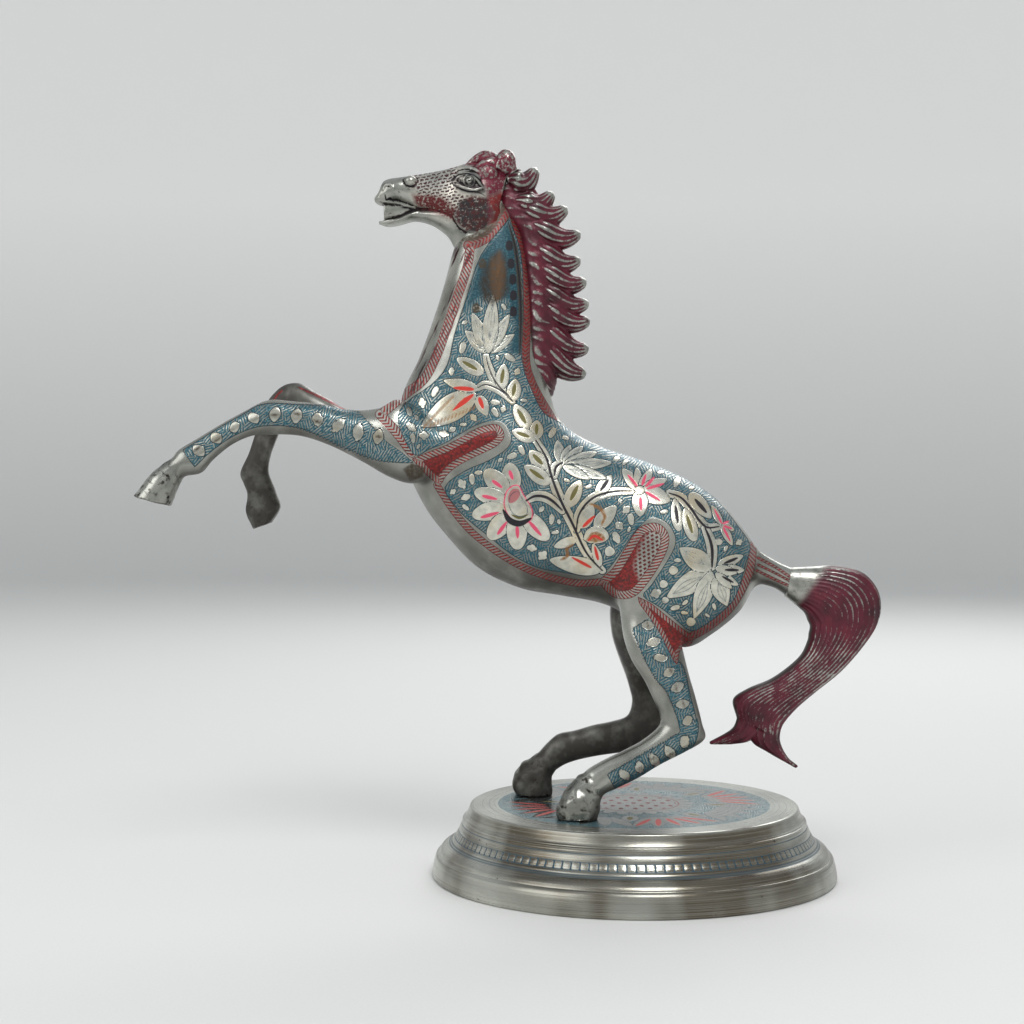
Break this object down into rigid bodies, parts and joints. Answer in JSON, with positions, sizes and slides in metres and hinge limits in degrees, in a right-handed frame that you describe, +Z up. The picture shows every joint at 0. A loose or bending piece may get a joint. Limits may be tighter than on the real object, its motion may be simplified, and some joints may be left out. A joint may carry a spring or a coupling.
{
  "type": "horse statue",
  "caption": "Rearing horse ornament on a stepped round plinth, plated cast metal with an engraved, lacquer-filled floral vine and a maroon mane and tail.",
  "frame": {"origin": "on the table, under the middle of the whole statue's bounding box", "axes": "+Z up; the horse faces -X and its left side faces -Y"},
  "size_m": [0.3076, 0.1686, 0.302],
  "materials": {
    "plinth_plate": "silver-plated, turned and engraved, worn bright",
    "engraved_body": "silver-plated, hand-engraved, filled with teal, pink, red and ochre lacquer",
    "head_plate": "silver-plated, stippled with red and black lacquer",
    "maroon_lacquer": "maroon lacquer in the grooves, bright metal on the ridges",
    "leg_plate": "silver-plated, engraved teal strip, tarnished on the far legs",
    "screw_steel": "bright zinc-plated steel"
  },
  "bodies": {
    "root": {"base_plinth": "plinth_plate", "torso_left_shell": "engraved_body", "torso_right_shell": "engraved_body", "head": "head_plate", "mane": "maroon_lacquer", "tail_plume": "maroon_lacquer", "left_foreleg": "leg_plate", "right_foreleg": "leg_plate", "left_hind_leg": "leg_plate", "right_hind_leg": "leg_plate", "left_hoof_screw": "screw_steel", "right_hoof_screw": "screw_steel", "left_hoof_washer": "screw_steel", "right_hoof_washer": "screw_steel"}
  },
  "joints": []
}
